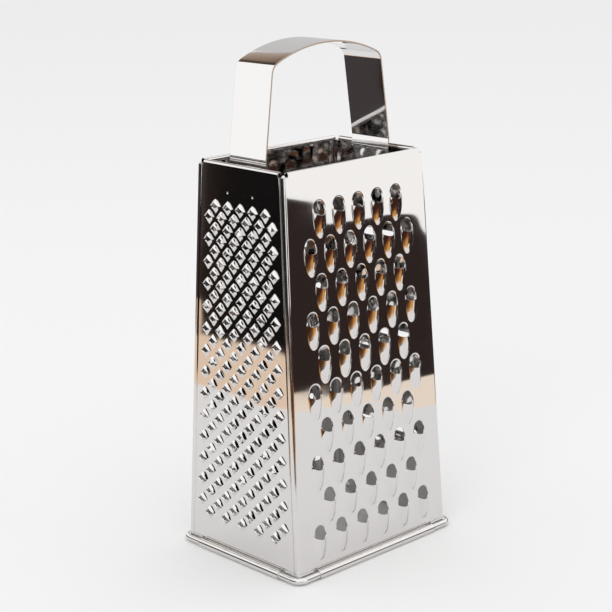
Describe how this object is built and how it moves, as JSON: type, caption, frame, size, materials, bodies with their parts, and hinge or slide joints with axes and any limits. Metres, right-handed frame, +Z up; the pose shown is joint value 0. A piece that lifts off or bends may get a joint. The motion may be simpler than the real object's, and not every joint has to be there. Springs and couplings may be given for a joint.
{
  "type": "box grater",
  "caption": "Tapered box grater with coarse, medium, star and slicing sides, folded corner seams, a strap handle and a wire ring in its curled foot.",
  "frame": {"origin": "centre of the object's footprint, on the table", "axes": "+Z up, X across the wide panels, Y across the narrow panels; the coarse panel faces -Y and the star panel faces -X"},
  "size_m": [0.103, 0.082, 0.233],
  "materials": {
    "panel_steel": "mirror-polished stainless sheet",
    "strap_steel": "mirror-polished stainless strip with plain cut edges",
    "wire_steel": "bright drawn wire"
  },
  "bodies": {
    "root": {"coarse_panel": "panel_steel", "star_panel": "panel_steel", "medium_panel": "panel_steel", "slicer_panel": "panel_steel", "handle_strap": "strap_steel", "base_wire": "wire_steel"}
  },
  "joints": []
}
